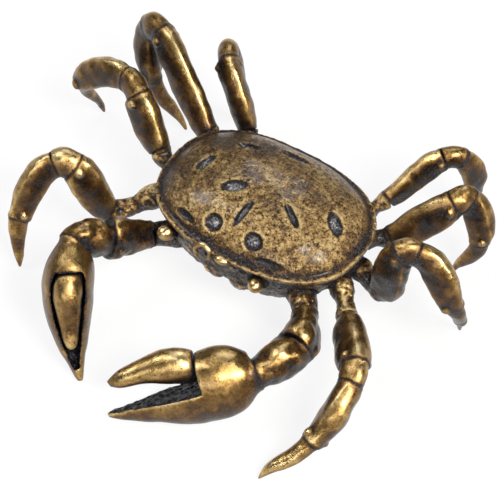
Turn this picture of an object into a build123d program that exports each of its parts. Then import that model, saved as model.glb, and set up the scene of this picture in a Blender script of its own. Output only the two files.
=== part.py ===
from build123d import *
import math
import os

# Cast brass crab figurine, in millimetres.
# The crab faces -Y and its own left is +X. Z is up and the floor is Z = 0. The body is cast in
# two pieces, a domed carapace over a thorax, and every limb is a chain of five cast pieces. Each
# piece ends in a flat joint face with a round tenon, brazed into a blind socket of the one before.

# Carapace, the domed back
CARAPACE_WIDTH = 28.2
CARAPACE_LENGTH = 19.8
RIM_HEIGHT = 10.2
BRIM_THICKNESS = 0.7
BRIM_WIDTH = 0.55
DOME_RISE = 5.0
CARAPACE_WALL = 1.3
DIMPLE_LENGTH = 3.2
DIMPLE_WIDTH = 1.6
DIMPLE_DEPTH = 0.5
DIMPLE_LIFT_SHARE = 0.6
SLOPE_STEP = 0.14
OUTLINE_POWER_SHARE = 2.5
DOME_POWER_SHARE = 2.8
DOME_TOP_POWER_SHARE = 1.6
OUTLINE_STEPS = 24
DOME_ANGLES = (0, 20, 38, 54, 68, 80, 88)

# Thorax, the underbody
BODY_CLEARANCE = 3.6
PLINTH_HEIGHT = 0.6
PLINTH_GAP = 0.06
TAIL_FLAP_WIDTH = 8.4
TAIL_FLAP_LENGTH = 10.4
TAIL_FLAP_THICKNESS = 0.5
TAIL_GROOVE_WIDTH = 0.35
TAIL_GROOVE_DEPTH = 0.35
TAIL_GROOVES = 4
TAIL_REAR_SHARE = 0.5
MOUTH_PLATE_WIDTH = 3.4
MOUTH_PLATE_HEIGHT = 4.2
MOUTH_PLATE_THICKNESS = 0.8
MOUTH_FRONT_SHARE = 0.89
FEELER_RADIUS = 0.5
BOSS_REACH = 3.5

# Eyes
EYE_DIAMETER = 2.0
EYE_LENGTH = 2.5
ORBIT_GAP = 0.25
EYE_STALK_DIAMETER = 0.9
EYE_STALK_LENGTH = 1.6
EYE_DROP = 1.3
EYE_CLIMB = 12

# Walking legs: lengths along each piece, then width across the fold and depth in the plane of the fold
LEG_HIP_LENGTH = 4.0
LEG_THIGH_LENGTH = 9.0
LEG_KNEE_LENGTH = 2.6
LEG_SHIN_LENGTH = 8.4
LEG_TIP_REACH = 4.0
LEG_HIP_WIDTH = 2.6
LEG_HIP_DEPTH = 2.8
LEG_THIGH_WIDTH = 3.0
LEG_THIGH_DEPTH = 4.1
LEG_KNEE_WIDTH = 3.1
LEG_KNEE_DEPTH = 3.7
LEG_SHIN_WIDTH = 2.7
LEG_SHIN_DEPTH = 3.6
LEG_TIP_WIDTH = 2.0
LEG_TIP_DEPTH = 2.5
LEG_KNOB_RADIUS = 0.6
LEG_TENON_RADIUS = 0.45
LEG_TENON_LENGTH = 0.8

# Claw limbs
CLAW_SHOULDER_LENGTH = 3.0
CLAW_ARM_LENGTH = 6.2
CLAW_WRIST_LENGTH = 5.8
CLAW_SHOULDER_WIDTH = 3.6
CLAW_ARM_WIDTH = 4.6
CLAW_ARM_DEPTH = 5.6
CLAW_WRIST_WIDTH = 5.2
CLAW_WRIST_DEPTH = 5.6
CLAW_KNOB_RADIUS = 0.7
CLAW_TENON_RADIUS = 0.7
CLAW_TENON_LENGTH = 1.2
HAND_LENGTH = 18.8
PALM_LENGTH = 6.6
PALM_HEIGHT = 9.4
PALM_WIDTH = 7.2
MOVING_FINGER_LENGTH = 11.2
MOVING_FINGER_HEIGHT = 4.2
MOVING_FINGER_WIDTH = 4.1
FINGER_TENON_RADIUS = 0.8
FINGER_GROOVE = 0.35

# Clearances and the overrun of every cut
SOLDER_GAP = 0.05
SOCKET_END_GAP = 0.12
OVERRUN = 1.0
LEAST_TURN = 1

HALF_WIDTH = CARAPACE_WIDTH / 2
HALF_LENGTH = CARAPACE_LENGTH / 2
UP = Vector(0, 0, 1)

# Where each limb leaves the thorax: shares of half the width, half the length and the rim height
SEAT_SHARES = {
    "right_claw": (-0.62, -0.66, 0.60),
    "left_claw": (0.68, -0.68, 0.66),
    "right_leg_1": (-0.93, -0.36, 0.76),
    "right_leg_2": (-0.93, -0.01, 0.78),
    "right_leg_3": (-0.76, 0.62, 0.78),
    "right_leg_4": (-0.54, 0.90, 0.78),
    "left_leg_1": (0.94, -0.32, 0.73),
    "left_leg_2": (0.96, 0.04, 0.73),
    "left_leg_3": (0.84, 0.46, 0.73),
    "left_leg_4": (0.68, 0.78, 0.74),
}

# Heading and climb in degrees of the hip, thigh, knee and shin, then the heading of the tip
LEG_TURNS = {
    "right_leg_1": ((222, -15), (202, 62), (200, 2), (247, -51), 299),
    "right_leg_2": ((159, 14), (153, 45), (150, 8), (176, -36), 76),
    "right_leg_3": ((160, 20), (154, 34), (156, -24), (303, -72), 10),
    "right_leg_4": ((139, 27), (146, 42), (120, -20), (341, -74), 56),
    "left_leg_1": ((309, 0), (308, 16), (290, -16), (261, -36), 234),
    "left_leg_2": ((348, -15), (18, 76), (38, 5), (358, -49), 95),
    "left_leg_3": ((38, 0), (42, 35), (62, -4), (350, -67), 211),
    "left_leg_4": ((66, 8), (57, 32), (40, -8), (37, -74), 228),
}

# Length of the hip, thigh, knee and shin, reach of the tip, then girth
LEG_SIZE_SHARES = {
    "right_leg_1": (1.75, 0.95, 0.92, 1.07, 0.72, 1.04),
    "right_leg_2": (1.02, 0.80, 1.15, 1.15, 0.80, 1.00),
    "right_leg_3": (0.75, 1.50, 1.20, 0.88, 1.15, 1.05),
    "right_leg_4": (0.58, 1.00, 1.05, 0.86, 0.40, 0.90),
    "left_leg_1": (1.30, 1.00, 0.85, 1.00, 1.70, 1.08),
    "left_leg_2": (1.02, 0.94, 0.72, 1.02, 0.70, 1.00),
    "left_leg_3": (0.80, 1.00, 0.84, 0.80, 0.80, 1.00),
    "left_leg_4": (0.90, 0.96, 0.86, 0.84, 0.55, 0.85),
}

# Heading and climb of the shoulder, arm, wrist and hand, then the hand's roll and the finger's
# opening in degrees
CLAW_TURNS = {
    "right_claw": ((226, 8), (240, 24), (246, 26), (308, -44), 0, 2),
    "left_claw": ((312, 2), (290, 0), (248, -9), (221, -16), -35, 13),
}

# Length of the shoulder, arm and wrist, then the size of the hand and the girth of the wrist
CLAW_SIZE_SHARES = {
    "right_claw": (1.12, 1.06, 0.93, 0.90, 0.86),
    "left_claw": (1.00, 0.82, 0.99, 1.00, 1.00),
}

# Share of the palm before the finger's seat, share of the finger's length, sideways bow as a share
# of the palm's width, height of the bite as a share of the palm's height, width of the bite as a
# share of the finger's width and its end as a share of the hand's length
HAND_SHARES = {
    "right_claw": (0.56, 0.90, 0.14, 0.02, 1.0, 0.90),
    "left_claw": (1.00, 1.00, 0.00, 0.03, 7.0, 1.06),
}

# Girth along each piece: share of the length, share of the width, share of the depth
HIP_GIRTH_SHARES = (
    (0.0, 0.98, 0.98),
    (0.26, 1.08, 1.06),
    (0.44, 0.86, 0.88),
    (0.78, 1.02, 1.04),
    (1.0, 0.88, 0.90),
)
SHOULDER_GIRTH_SHARES = (
    (0.0, 1.00, 1.00),
    (0.30, 1.02, 1.02),
    (0.70, 0.94, 0.94),
    (1.0, 0.90, 0.90),
)
THIGH_GIRTH_SHARES = (
    (0.0, 0.74, 0.66),
    (0.20, 0.92, 0.88),
    (0.50, 1.00, 1.00),
    (0.84, 0.99, 0.96),
    (1.0, 0.90, 0.84),
)
KNEE_GIRTH_SHARES = (
    (0.0, 0.86, 0.90),
    (0.30, 1.00, 0.99),
    (0.66, 1.00, 0.99),
    (1.0, 0.80, 0.86),
)
SHIN_GIRTH_SHARES = (
    (0.0, 0.84, 0.82),
    (0.16, 0.99, 0.95),
    (0.46, 1.02, 1.03),
    (0.84, 0.90, 0.86),
    (1.0, 0.76, 0.72),
)
TIP_GIRTH_SHARES = (
    (0.0, 0.90, 0.92),
    (0.14, 1.00, 1.00),
    (0.52, 0.80, 0.78),
    (0.86, 0.44, 0.42),
    (1.0, 0.22, 0.20),
)
ARM_GIRTH_SHARES = (
    (0.0, 0.70, 0.60),
    (0.20, 0.80, 0.70),
    (0.60, 0.97, 0.93),
    (0.88, 1.04, 1.04),
    (1.0, 0.95, 0.95),
)
WRIST_GIRTH_SHARES = (
    (0.0, 0.86, 0.84),
    (0.24, 1.02, 1.00),
    (0.60, 0.98, 0.99),
    (0.90, 0.78, 0.79),
    (1.0, 0.70, 0.70),
)

# The palm and fixed finger as one teardrop: share of the hand's length, share of the palm's
# height off its line, then share of the palm's height and of its width
TEARDROP_SHARES = (
    (-0.13, 0.02, 0.30, 0.36),
    (0.00, 0.02, 0.50, 0.56),
    (0.09, 0.03, 0.78, 0.83),
    (0.19, 0.02, 0.96, 0.98),
    (0.31, 0.02, 0.97, 1.00),
    (0.43, 0.02, 0.93, 0.95),
    (0.57, 0.02, 0.78, 0.82),
    (0.70, 0.03, 0.62, 0.64),
    (0.84, 0.03, 0.42, 0.40),
    (0.93, 0.03, 0.28, 0.25),
    (1.00, 0.03, 0.14, 0.12),
)
MOVING_FINGER_SHARES = (
    (0.0, 0.84, 0.72),
    (0.06, 0.94, 0.90),
    (0.15, 1.00, 1.00),
    (0.42, 0.88, 0.94),
    (0.76, 0.58, 0.66),
    (1.0, 0.20, 0.24),
)
BITE_SHARES = ((0.0, 0.78), (0.07, 0.92), (0.15, 0.98), (0.42, 0.88), (0.74, 0.55), (1.0, 0.20))
FINGER_SEAT_SHARE = 0.30
FINGER_ARCH_SHARE = 0.16
THIGH_BOW_SHARE = 0.55
KNOB_SET_BACK_SHARE = 1.25
KNOB_REACH_SHARE = 0.88
SEAT_FACE_SHARE = 0.62

# Levels of the thorax: share of its depth, size, and shift forward as a share of half the length
THORAX_SHARES = ((0, 0.56, 0.16), (0.16, 0.72, 0.12), (0.52, 0.88, 0.07), (1, 0.94, 0))

# Half of the tail flap's outline: share of half its width, share of its length
TAIL_OUTLINE_SHARES = ((1, 0), (0.8, 0.5), (0.3, 1))

# Dimples on the carapace: place across and along, turn in degrees, length and width, as shares
DIMPLE_SHARES = {
    "right_gill": (-0.59, -0.08, 70, 1.05, 0.90),
    "left_gill": (0.71, 0.02, -34, 1.20, 1.25),
    "right_brow": (-0.20, -0.75, 20, 0.84, 1.60),
    "left_brow": (0.21, -0.74, -20, 0.86, 1.70),
    "right_heart": (-0.22, -0.24, 34, 1.15, 1.05),
    "left_heart": (0.38, -0.24, -34, 1.30, 0.60),
    "middle_slit": (0.00, -0.52, 84, 1.80, 0.58),
    "right_rear": (-0.36, 0.42, 14, 1.00, 0.60),
    "rear": (0.03, 0.62, 4, 1.35, 0.75),
    "right_edge": (-0.48, -0.78, -8, 1.10, 0.75),
    "left_edge": (0.42, -0.84, 8, 1.50, 0.85),
}

# Eyes and feelers: shares of half the width and half the length
EYE_SHARES = {"right_eye": (-0.61, -0.92), "left_eye": (0.35, -0.98)}
EYE_HEADINGS = {"right_eye": 232, "left_eye": 292}
FEELER_SHARES = ((-0.26, -0.92), (-0.16, -0.95), (-0.02, -0.97), (0.10, -0.97), (0.20, -0.96))


def direction(heading, climb):
    """Unit vector at a heading from +X and a climb from the floor, in degrees."""
    level = math.cos(math.radians(climb))
    return Vector(
        level * math.cos(math.radians(heading)),
        level * math.sin(math.radians(heading)),
        math.sin(math.radians(climb)),
    )


def square_to(side, along):
    """The part of side that is square to along, as a unit vector."""
    return (side - along * side.dot(along)).normalized()


def oval(centre, along, side, width, depth):
    """Elliptical section square to along, with its width along side."""
    plane = Plane(origin=centre, x_dir=square_to(side, along), z_dir=along)
    return plane * Ellipse(width / 2, depth / 2)


def peg(centre, along, radius, length):
    """Round peg that starts at centre and runs along."""
    plane = Plane(origin=centre, z_dir=along)
    return extrude(plane * Circle(radius), length)


def egg(centre, along, side, length, width, depth):
    """Ellipsoid with its length along, its width along side and its depth square to both."""
    ball = scale(Sphere(1), by=(width / 2, depth / 2, length / 2))
    return Plane(origin=centre, x_dir=square_to(side, along), z_dir=along) * ball


def bow(start, start_along, end, end_along, bow_share=1):
    """Smooth curve from start to end, as a function of the share of its length."""
    chord = end - start
    turn = math.radians(start_along.get_angle(end_along) + LEAST_TURN)
    handle = chord.length * bow_share * 2 / 3 * math.tan(turn / 4) / math.sin(turn / 2)
    near = start + start_along * handle
    far = end - end_along * handle

    def at(share):
        rest = 1 - share
        point = start * rest**3 + near * (3 * rest**2 * share)
        point = point + far * (3 * rest * share**2) + end * share**3
        along = (near - start) * rest**2 + (far - near) * (2 * rest * share) + (end - far) * share**2
        return point, along.normalized()

    return at


def limb_piece(start, start_along, end, end_along, side, width, depth, girth_shares, bow_share=1):
    """Cast piece between two joint faces."""
    curve = bow(start, start_along, end, end_along, bow_share)
    sections = []
    for share, width_share, depth_share in girth_shares:
        point, along = curve(share)
        sections.append(oval(point, along, side, width * width_share, depth * depth_share))
    return loft(sections)


def with_tenon(piece, joint, along, radius, length):
    """The piece with the peg that goes back into the piece before."""
    return piece + peg(joint + along * length, along * -1, radius, length * 2)


def with_socket(piece, joint, along, radius, length):
    """The piece with the blind socket for the next piece's tenon."""
    deep = length + SOCKET_END_GAP + OVERRUN
    return piece - peg(joint + along * OVERRUN, along * -1, radius + SOLDER_GAP, deep)


def with_knobs(piece, joint, along, side, reach, radius):
    """The piece with the two hinge knobs that stand at the sides of its far joint."""
    for way in (1, -1):
        centre = joint - along * (radius * KNOB_SET_BACK_SHARE) + square_to(side, along) * (way * reach)
        piece = piece + Pos(*centre) * Sphere(radius)
    return piece


def seat_of(name):
    """Centre of the joint face where a limb leaves the thorax."""
    across, along, up = SEAT_SHARES[name]
    return Vector(HALF_WIDTH * across, HALF_LENGTH * along, RIM_HEIGHT * up)


def joint_directions(ways):
    """The direction through each joint face: halfway between the pieces that meet there."""
    middle = [(ways[i] + ways[i + 1]).normalized() for i in range(len(ways) - 1)]
    return [ways[0]] + middle + [ways[-1]]


def leg(name):
    """The five pieces of a walking leg, hip to tip."""
    turns = LEG_TURNS[name]
    hip_share, thigh_share, knee_share, shin_share, reach_share, girth = LEG_SIZE_SHARES[name]
    lengths = (
        LEG_HIP_LENGTH * hip_share,
        LEG_THIGH_LENGTH * thigh_share,
        LEG_KNEE_LENGTH * knee_share,
        LEG_SHIN_LENGTH * shin_share,
    )
    ways = [direction(*turn) for turn in turns[:4]]
    joints = [seat_of(name)]
    for way, length in zip(ways, lengths):
        joints.append(joints[-1] + way * length)
    foot = joints[-1] + direction(turns[4], 0) * (LEG_TIP_REACH * reach_share)
    foot.Z = 0
    ways.append((foot - joints[-1]).normalized())
    joints.append(foot)
    faces = joint_directions(ways)
    faces[-1] = (ways[-1] - UP).normalized()
    side = ways[1].cross(ways[3]).normalized()
    sizes = (
        ("hip", LEG_HIP_WIDTH, LEG_HIP_DEPTH, HIP_GIRTH_SHARES),
        ("thigh", LEG_THIGH_WIDTH, LEG_THIGH_DEPTH, THIGH_GIRTH_SHARES),
        ("knee", LEG_KNEE_WIDTH, LEG_KNEE_DEPTH, KNEE_GIRTH_SHARES),
        ("shin", LEG_SHIN_WIDTH, LEG_SHIN_DEPTH, SHIN_GIRTH_SHARES),
        ("tip", LEG_TIP_WIDTH, LEG_TIP_DEPTH, TIP_GIRTH_SHARES),
    )
    pieces = {}
    for index, (word, width, depth, girth_shares) in enumerate(sizes):
        start, end = joints[index], joints[index + 1]
        wide, deep = width * girth, depth * girth
        bow_share = THIGH_BOW_SHARE if word == "thigh" else 1
        ends = (start, faces[index], end, faces[index + 1])
        piece = limb_piece(*ends, side, wide, deep, girth_shares, bow_share)
        if word in ("thigh", "shin"):
            reach = wide * girth_shares[-1][1] / 2 * KNOB_REACH_SHARE
            piece = with_knobs(piece, end, faces[index + 1], side, reach, LEG_KNOB_RADIUS * girth)
        piece = with_tenon(piece, start, faces[index], LEG_TENON_RADIUS, LEG_TENON_LENGTH)
        if word != "tip":
            piece = with_socket(piece, end, faces[index + 1], LEG_TENON_RADIUS, LEG_TENON_LENGTH)
        else:
            piece = above_floor(piece)
        pieces[f"{name}_{word}"] = piece
    return pieces, joints[0], faces[0], LEG_HIP_WIDTH * girth, LEG_HIP_DEPTH * girth, side


def above_floor(piece):
    """The piece cut flat where it stands on the floor."""
    block = Box(CARAPACE_WIDTH * 4, CARAPACE_WIDTH * 4, CARAPACE_LENGTH)
    return piece - Pos(0, 0, -CARAPACE_LENGTH / 2) * block


def sway(share, bow_share):
    """Sideways bow of the hand at a share of its length, nothing at either end."""
    return PALM_WIDTH * bow_share * 4 * share * (1 - share)


def teardrop(joint, along, rise, side, size, bow_share):
    """Palm and fixed finger before the bite is cut."""
    sections = []
    for along_share, off_share, height_share, width_share in TEARDROP_SHARES:
        point = joint + along * (HAND_LENGTH * along_share * size)
        point = point + rise * (PALM_HEIGHT * off_share * size)
        point = point + side * (sway(along_share, bow_share) * size)
        width, height = PALM_WIDTH * width_share * size, PALM_HEIGHT * height_share * size
        sections.append(oval(point, along, side, width, height))
    return loft(sections)


def bite(joint, along, rise, side, size, hand_shares):
    """The hollow between the fingers, with a groove's room round the moving one."""
    palm_share, _, bow_share, level_share, width_share, end_share = hand_shares
    start_share = PALM_LENGTH * palm_share / HAND_LENGTH
    height = PALM_HEIGHT * size
    sections = []
    for along_share, girth_share in BITE_SHARES:
        share = start_share + (end_share - start_share) * along_share
        point = joint + along * (HAND_LENGTH * share * size)
        point = point + rise * (height * level_share + height / 2)
        point = point + side * (sway(share, bow_share) * size)
        width = (MOVING_FINGER_WIDTH * size + FINGER_GROOVE * 2) * width_share * girth_share
        sections.append(oval(point, along, side, width, height))
    return loft(sections)


def claw_finger(seat, along, rise, side, size, opening, hand_shares):
    """The upper finger, arched over the fixed one."""
    palm_share, finger_share, bow_share = hand_shares[:3]
    length = MOVING_FINGER_LENGTH * finger_share * size
    lean = math.radians(opening)
    drop = PALM_HEIGHT * FINGER_ARCH_SHARE * size
    tip = seat + along * (length * math.cos(lean)) + rise * (length * math.sin(lean) - drop)
    tip_along = (tip - seat - rise * (PALM_HEIGHT * FINGER_SEAT_SHARE * size)).normalized()
    curve = bow(seat, (along + rise * FINGER_SEAT_SHARE).normalized(), tip, tip_along)
    seat_sway = sway(PALM_LENGTH * palm_share / HAND_LENGTH, bow_share)
    sections = []
    for share, height_share, width_share in MOVING_FINGER_SHARES:
        point, way = curve(share)
        if share == 0:
            way = along
        reach = PALM_LENGTH * palm_share + MOVING_FINGER_LENGTH * finger_share * share
        point = point + side * ((sway(reach / HAND_LENGTH, bow_share) - seat_sway) * size)
        width = MOVING_FINGER_WIDTH * width_share * size
        sections.append(oval(point, way, side, width, MOVING_FINGER_HEIGHT * height_share * size))
    return loft(sections)


def claw(name):
    """The five pieces of a claw limb, shoulder to finger."""
    turns = CLAW_TURNS[name]
    shoulder_share, arm_share, wrist_share, size, wrist_girth = CLAW_SIZE_SHARES[name]
    lengths = (
        CLAW_SHOULDER_LENGTH * shoulder_share,
        CLAW_ARM_LENGTH * arm_share,
        CLAW_WRIST_LENGTH * wrist_share,
    )
    ways = [direction(*turn) for turn in turns[:4]]
    joints = [seat_of(name)]
    for way, length in zip(ways, lengths):
        joints.append(joints[-1] + way * length)
    faces = joint_directions(ways)
    side = ways[1].cross(UP).normalized()
    sizes = (
        ("shoulder", CLAW_SHOULDER_WIDTH, CLAW_SHOULDER_WIDTH, SHOULDER_GIRTH_SHARES),
        ("arm", CLAW_ARM_WIDTH, CLAW_ARM_DEPTH, ARM_GIRTH_SHARES),
        ("wrist", CLAW_WRIST_WIDTH * wrist_girth, CLAW_WRIST_DEPTH * wrist_girth, WRIST_GIRTH_SHARES),
    )
    pieces = {}
    for index, (word, width, depth, girth_shares) in enumerate(sizes):
        start, end = joints[index], joints[index + 1]
        piece = limb_piece(start, faces[index], end, faces[index + 1], side, width, depth, girth_shares)
        if word == "arm":
            reach = width * girth_shares[-1][1] / 2 * KNOB_REACH_SHARE
            piece = with_knobs(piece, end, faces[index + 1], side, reach, CLAW_KNOB_RADIUS)
        piece = with_tenon(piece, start, faces[index], CLAW_TENON_RADIUS, CLAW_TENON_LENGTH)
        piece = with_socket(piece, end, faces[index + 1], CLAW_TENON_RADIUS, CLAW_TENON_LENGTH)
        pieces[f"{name}_{word}"] = piece
    pieces.update(hand_and_finger(name, joints[3], ways[3], faces[3], size))
    return pieces, joints[0], faces[0], CLAW_SHOULDER_WIDTH, CLAW_SHOULDER_WIDTH, side


def hand_and_finger(name, joint, along, face, size):
    """The hand with its tenon and finger socket, and the finger that is brazed into it."""
    roll, opening = CLAW_TURNS[name][4:]
    hand_shares = HAND_SHARES[name]
    palm_share, _, bow_share = hand_shares[:3]
    upright = square_to(UP, along)
    lean = math.radians(roll)
    rise = upright * math.cos(lean) - along.cross(upright) * math.sin(lean)
    side = along.cross(rise)
    seat = joint + along * (PALM_LENGTH * palm_share * size)
    seat = seat + rise * (PALM_HEIGHT * FINGER_SEAT_SHARE * size)
    seat = seat + side * (sway(PALM_LENGTH * palm_share / HAND_LENGTH, bow_share) * size)
    hand = above_floor(teardrop(joint, along, rise, side, size, bow_share))
    hand = hand - bite(joint, along, rise, side, size, hand_shares)
    hand = hand - peg(joint, face * -1, PALM_HEIGHT, PALM_HEIGHT)
    hand = with_tenon(hand, joint, face, CLAW_TENON_RADIUS, CLAW_TENON_LENGTH)
    hand = with_socket(hand, seat, along, FINGER_TENON_RADIUS, CLAW_TENON_LENGTH)
    finger = claw_finger(seat, along, rise, side, size, opening, hand_shares)
    finger = with_tenon(finger, seat, along, FINGER_TENON_RADIUS, CLAW_TENON_LENGTH)
    return {f"{name}_hand": hand, f"{name}_finger": finger}


def body_outline(half_width, half_length, height, forward=0):
    """Level outline of the body, a rounded oval with blunt corners."""
    points = []
    for step in range(OUTLINE_STEPS):
        angle = 2 * math.pi * step / OUTLINE_STEPS
        across, along = math.cos(angle), math.sin(angle)
        x = math.copysign(abs(across) ** (2 / OUTLINE_POWER_SHARE), across) * half_width
        y = math.copysign(abs(along) ** (2 / OUTLINE_POWER_SHARE), along) * half_length
        points.append((x, y - forward, height))
    return make_face(Spline(*points, periodic=True))


def dome(half_width, half_length, base, rise):
    """Solid dome on the body's outline."""
    sections = []
    for angle in DOME_ANGLES:
        level = math.sin(math.radians(angle)) ** (2 / DOME_TOP_POWER_SHARE)
        share = math.cos(math.radians(angle)) ** (2 / DOME_POWER_SHARE)
        sections.append(body_outline(half_width * share, half_length * share, base + rise * level))
    return loft(sections)


def dome_share(level):
    """Size of the dome's outline at a level, both as shares."""
    return (1 - level**DOME_TOP_POWER_SHARE) ** (1 / DOME_POWER_SHARE)


def dome_height(x, y):
    """Height of the dome's surface over a point of the carapace."""
    across = abs(x) / (HALF_WIDTH - BRIM_WIDTH)
    along = abs(y) / (HALF_LENGTH - BRIM_WIDTH)
    out = min((across**OUTLINE_POWER_SHARE + along**OUTLINE_POWER_SHARE) ** (1 / OUTLINE_POWER_SHARE), 1)
    return RIM_HEIGHT + DOME_RISE * (1 - out**DOME_POWER_SHARE) ** (1 / DOME_TOP_POWER_SHARE)


def dimple(across, along, turn, length_share, width_share):
    """Shallow hollow pressed square to the dome's surface, the low end of a raised egg."""
    x, y = HALF_WIDTH * across, HALF_LENGTH * along
    slope_x = (dome_height(x + SLOPE_STEP, y) - dome_height(x - SLOPE_STEP, y)) / (2 * SLOPE_STEP)
    slope_y = (dome_height(x, y + SLOPE_STEP) - dome_height(x, y - SLOPE_STEP)) / (2 * SLOPE_STEP)
    normal = Vector(-slope_x, -slope_y, 1).normalized()
    half_height = DIMPLE_DEPTH / (1 - DIMPLE_LIFT_SHARE)
    centre = Vector(x, y, dome_height(x, y)) + normal * (half_height * DIMPLE_LIFT_SHARE)
    girth_share = 1 / math.sqrt(1 - DIMPLE_LIFT_SHARE**2)
    length = DIMPLE_LENGTH * length_share * girth_share
    width = DIMPLE_WIDTH * width_share * girth_share
    return egg(centre, normal, direction(turn, 0), half_height * 2, length, width)


def eye_place(name):
    """Centre of an eye and the way it looks."""
    across, along = EYE_SHARES[name]
    centre = Vector(HALF_WIDTH * across, HALF_LENGTH * along, RIM_HEIGHT - EYE_DROP)
    return centre, direction(EYE_HEADINGS[name], EYE_CLIMB)


def orbit(name):
    """Hollow that the eye sits in, with the blind hole for its stalk."""
    centre, along = eye_place(name)
    deep = EYE_LENGTH / 2 + EYE_STALK_LENGTH + SOCKET_END_GAP
    hole = peg(centre, along * -1, EYE_STALK_DIAMETER / 2 + SOLDER_GAP, deep)
    return Pos(*centre) * Sphere(EYE_LENGTH / 2 + ORBIT_GAP) + hole


def carapace():
    """Domed back with a thin brim, open below."""
    brim = extrude(body_outline(HALF_WIDTH, HALF_LENGTH, RIM_HEIGHT), BRIM_THICKNESS)
    shell = brim + dome(HALF_WIDTH - BRIM_WIDTH, HALF_LENGTH - BRIM_WIDTH, RIM_HEIGHT, DOME_RISE)
    inset = BRIM_WIDTH + CARAPACE_WALL
    shell = shell - dome(HALF_WIDTH - inset, HALF_LENGTH - inset, RIM_HEIGHT, DOME_RISE - CARAPACE_WALL)
    for shares in DIMPLE_SHARES.values():
        shell = shell - dimple(*shares)
    for name in EYE_SHARES:
        shell = shell - orbit(name)
    return shell


def thorax(limb_seats):
    """Underbody with the plinth, mouth, tail flap and a socketed boss for each limb."""
    inset = BRIM_WIDTH + CARAPACE_WALL
    depth = RIM_HEIGHT - BODY_CLEARANCE
    sections = []
    for level_share, size_share, forward_share in THORAX_SHARES:
        height, forward = BODY_CLEARANCE + depth * level_share, HALF_LENGTH * forward_share
        sections.append(body_outline(HALF_WIDTH * size_share, HALF_LENGTH * size_share, height, forward))
    body = loft(sections)
    top_share = dome_share(PLINTH_HEIGHT / (DOME_RISE - CARAPACE_WALL))
    plinth_width = (HALF_WIDTH - inset) * top_share - PLINTH_GAP
    plinth_length = (HALF_LENGTH - inset) * top_share - PLINTH_GAP
    body = body + extrude(body_outline(plinth_width, plinth_length, RIM_HEIGHT), PLINTH_HEIGHT)
    body = body + mouth() + tail_flap()
    for seat, along, width, height, side, radius, length in limb_seats:
        root = seat - along * BOSS_REACH
        boss = loft([oval(root, along, side, width, height), oval(seat, along, side, width, height)])
        body = body + boss - peg(seat, along, max(width, height) * SEAT_FACE_SHARE, BOSS_REACH)
        body = with_socket(body, seat, along, radius, length)
    for name in EYE_SHARES:
        body = body - orbit(name)
    return body


def mouth():
    """Two mouth plates and a row of feeler knobs under the front of the brim."""
    height = (RIM_HEIGHT + BODY_CLEARANCE) / 2
    front = -HALF_LENGTH * MOUTH_FRONT_SHARE
    thickness = MOUTH_PLATE_THICKNESS * 2
    parts = []
    for way in (-1, 1):
        centre = Vector(way * MOUTH_PLATE_WIDTH / 2, front, height)
        parts.append(egg(centre, UP, Vector(1, 0, 0), MOUTH_PLATE_HEIGHT, MOUTH_PLATE_WIDTH, thickness))
    for across, along in FEELER_SHARES:
        drop = FEELER_RADIUS + SOLDER_GAP
        place = Vector(HALF_WIDTH * across, HALF_LENGTH * along, RIM_HEIGHT - drop)
        parts.append(Pos(*place) * Sphere(FEELER_RADIUS))
    return parts


def tail_flap():
    """Folded tail under the body, a tapered plate with cross grooves."""
    half_width, length = TAIL_FLAP_WIDTH / 2, TAIL_FLAP_LENGTH
    rear = HALF_LENGTH * TAIL_REAR_SHARE
    left = [(half_width * across, rear - length * along) for across, along in TAIL_OUTLINE_SHARES]
    right = [(-x, y) for x, y in reversed(left)]
    bottom = BODY_CLEARANCE - TAIL_FLAP_THICKNESS
    outline = make_face(Polyline(*left, *right, close=True))
    flap = extrude(Pos(0, 0, bottom) * outline, TAIL_FLAP_THICKNESS * 2)
    for step in range(1, TAIL_GROOVES + 1):
        groove = Box(TAIL_FLAP_WIDTH + OVERRUN, TAIL_GROOVE_WIDTH, TAIL_GROOVE_DEPTH * 2)
        flap = flap - Pos(0, rear - length * step / (TAIL_GROOVES + 1), bottom) * groove
    return flap


def eye(name):
    """Egg-shaped eye on a stalk that is brazed into its orbit."""
    centre, along = eye_place(name)
    ball = egg(centre, along, UP, EYE_LENGTH, EYE_DIAMETER, EYE_DIAMETER)
    return ball + peg(centre, along * -1, EYE_STALK_DIAMETER / 2, EYE_LENGTH / 2 + EYE_STALK_LENGTH)


def build_crab():
    """Every piece of the crab by its node name."""
    pieces = {}
    limb_seats = []
    for name in SEAT_SHARES:
        if name.endswith("claw"):
            made, seat, along, width, height, side = claw(name)
            radius, length = CLAW_TENON_RADIUS, CLAW_TENON_LENGTH
        else:
            made, seat, along, width, height, side = leg(name)
            radius, length = LEG_TENON_RADIUS, LEG_TENON_LENGTH
        pieces.update(made)
        limb_seats.append((seat, along, width, height, side, radius, length))
    pieces["carapace"] = carapace()
    pieces["thorax"] = thorax(limb_seats)
    for name in EYE_SHARES:
        pieces[name] = eye(name)
    return pieces


def save(pieces):
    """Write each piece, with the origin under the middle of the whole crab's box."""
    boxes = [piece.bounding_box() for piece in pieces.values()]
    middle_x = (min(box.min.X for box in boxes) + max(box.max.X for box in boxes)) / 2
    middle_y = (min(box.min.Y for box in boxes) + max(box.max.Y for box in boxes)) / 2
    os.makedirs("parts", exist_ok=True)
    for name, piece in pieces.items():
        export_step(Pos(-middle_x, -middle_y, 0) * piece, f"parts/{name}.step")
    print(f"{len(pieces)} pieces, origin moved by {middle_x:.3f} {middle_y:.3f}")


save(build_crab())
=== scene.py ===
# %% [markdown]
# # A small cast crab in antique brass
# The real object looks like a solid brass crab, of the kind that sits on a desk. Nothing in the
# photograph shows its size, so about six centimetres is a guess. Its shell, limbs and eyes are
# taken to be separate castings brazed at the creases, which the photograph suggests but can't
# prove. The finish looks like a dark patina that was rubbed, so the raised places shine and the
# hollows stay almost black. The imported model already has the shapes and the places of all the
# castings, so this lesson gives them their cast skin, their finish and a studio to stand in.

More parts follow.
